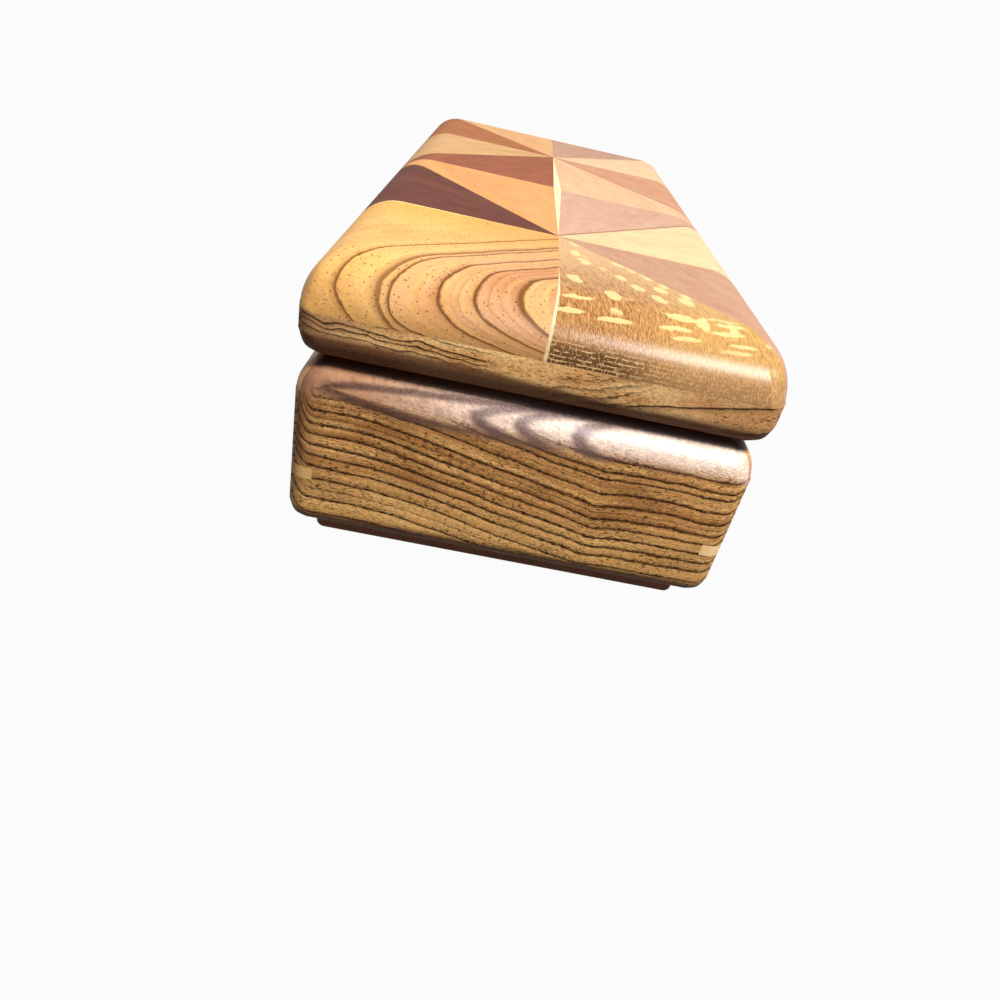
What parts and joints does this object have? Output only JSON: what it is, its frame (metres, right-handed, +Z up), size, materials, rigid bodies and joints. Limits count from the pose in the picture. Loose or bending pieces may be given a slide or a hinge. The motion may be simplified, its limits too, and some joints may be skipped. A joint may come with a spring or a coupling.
{
  "type": "trinket box",
  "caption": "Low wooden trinket box with softly rounded edges, keyed mitred corners and a back-hinged lid made of thick wedges of mixed woods that meet in fans.",
  "frame": {"origin": "on the underside of the base board, below the middle of the box", "axes": "+X along the box from its near end to its far end, +Y to its hinged back, +Z up"},
  "size_m": [0.2444, 0.1104, 0.0744],
  "materials": {
    "zebrawood": "lacquered, dark wavy growth lines",
    "base_wood": "satin, dark stained",
    "panel_wood": "satin",
    "maple": "lacquered",
    "golden_wood": "lacquered, dark cathedral figure",
    "leopardwood": "lacquered, pale ray flecks",
    "pink_brown_wood": "lacquered",
    "walnut": "lacquered",
    "orange_wood": "lacquered",
    "cream_wood": "lacquered",
    "red_brown_wood": "lacquered",
    "tan_wood": "lacquered",
    "peach_wood": "lacquered",
    "brown_wood": "lacquered",
    "mauve_brown_wood": "lacquered",
    "felt": "soft felt",
    "brass": "satin brass"
  },
  "bodies": {
    "box": {"base_board": "base_wood", "end_board_near": "zebrawood", "end_board_far": "zebrawood", "side_board_front": "zebrawood", "side_board_back": "zebrawood", "corner_key_near_front": "maple", "corner_key_near_back": "maple", "corner_key_far_front": "maple", "corner_key_far_back": "maple", "floor_lining": "felt", "hinge_near_body_leaf": "brass", "hinge_far_body_leaf": "brass", "hinge_near_pin": "brass", "hinge_far_pin": "brass", "hinge_body_screws": "brass"},
    "lid": {"lid_rail_near": "zebrawood", "lid_rail_far": "zebrawood", "lid_rail_front": "zebrawood", "lid_rail_back": "zebrawood", "lid_backing_panel": "panel_wood", "square_near_back": "golden_wood", "wedge_near_front_end": "leopardwood", "wedge_near_front_side": "pink_brown_wood", "wedge_second_back_side": "walnut", "wedge_second_back_centre": "orange_wood", "wedge_second_front_centre": "pink_brown_wood", "wedge_second_front_side": "cream_wood", "wedge_third_back_centre": "red_brown_wood", "wedge_third_back_side": "tan_wood", "wedge_third_front_centre": "peach_wood", "wedge_third_front_side": "pink_brown_wood", "wedge_far_back_side": "brown_wood", "wedge_far_back_end": "orange_wood", "wedge_far_front_side": "peach_wood", "wedge_far_front_end": "mauve_brown_wood", "centre_sliver": "maple", "near_line_sliver": "maple", "hinge_near_lid_leaf": "brass", "hinge_far_lid_leaf": "brass", "hinge_lid_screws": "brass"}
  },
  "joints": [
    {"name": "lid_hinge", "type": "hinge", "parent": "box", "child": "lid", "pos_m": [0, 0.0525, 0.0498], "axis": [-1, 0, 0], "range_deg": [0, 125]}
  ]
}
